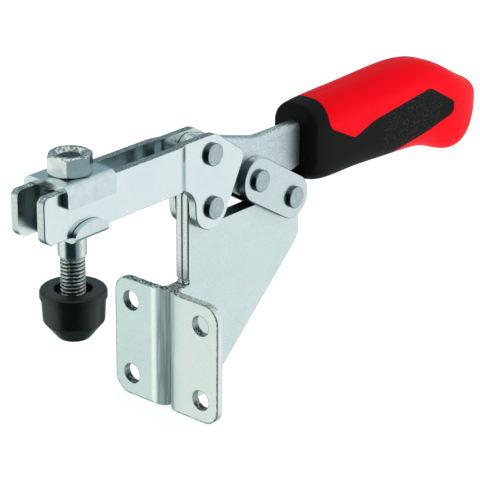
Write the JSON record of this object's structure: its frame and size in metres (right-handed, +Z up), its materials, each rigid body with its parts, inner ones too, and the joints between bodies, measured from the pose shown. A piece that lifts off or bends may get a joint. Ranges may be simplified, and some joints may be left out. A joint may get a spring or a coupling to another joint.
{
  "type": "toggle clamp",
  "caption": "Horizontal over-centre toggle clamp with an upright screw-on base, an open slotted arm, a rubber-capped clamping screw and a soft-covered handle.",
  "frame": {"origin": "centre of the four mounting holes, on the mounting face of the two wings", "axes": "+X from the clamping nose to the grip, square to the mounting face; +Z up, from the base to the arm; Y across the clamp, symmetric about y = 0"},
  "size_m": [0.229, 0.046, 0.103],
  "materials": {
    "plated_sheet": "zinc-plated sheet steel, lightly mottled, satin to bright",
    "plated_rivet": "zinc-plated rivet, pressed head",
    "plated_screw": "zinc-plated machined and bent steel, bright",
    "grip_red": "moulded hard plastic, semi-gloss",
    "grip_black": "soft moulded grip cover, matt",
    "cap_rubber": "moulded black rubber"
  },
  "bodies": {
    "base": {"base_plate_left": "plated_sheet", "base_plate_right": "plated_sheet"},
    "arm": {"arm_plate_left": "plated_sheet", "arm_plate_right": "plated_sheet", "arm_base_rivet": "plated_rivet", "arm_lever_rivet": "plated_rivet"},
    "link": {"link_plate_left": "plated_sheet", "link_plate_right": "plated_sheet", "link_lever_rivet": "plated_rivet", "link_base_rivet": "plated_rivet"},
    "handle": {"handle_lever": "plated_sheet", "grip_shell": "grip_red", "grip_cover": "grip_black"},
    "spindle": {"clamp_spindle": "plated_screw", "hex_nut": "plated_screw", "upper_washer": "plated_screw", "lower_washer": "plated_screw", "pressure_cap": "cap_rubber"}
  },
  "joints": [
    {"name": "arm_pivot", "type": "hinge", "parent": "base", "child": "arm", "pos_m": [0.0171, 0, 0.0475], "axis": [0, 1, 0], "range_deg": [0, 90]},
    {"name": "link_pivot", "type": "hinge", "parent": "base", "child": "link", "pos_m": [0.0589, 0, 0.0391], "axis": [0, 1, 0], "range_deg": [0, 75]},
    {"name": "handle_pivot", "type": "hinge", "parent": "link", "child": "handle", "pos_m": [0.0406, 0, 0.0503], "axis": [0, -1, 0], "range_deg": [0, 130]},
    {"name": "spindle_slide", "type": "slide", "parent": "arm", "child": "spindle", "axis": [1, 0, 0], "range_m": [-0.01, 0.03]}
  ],
  "couplings": [
    {"joint": "link_pivot", "follows": "arm_pivot", "ratio": 0.83333},
    {"joint": "handle_pivot", "follows": "arm_pivot", "ratio": 1.4444}
  ]
}
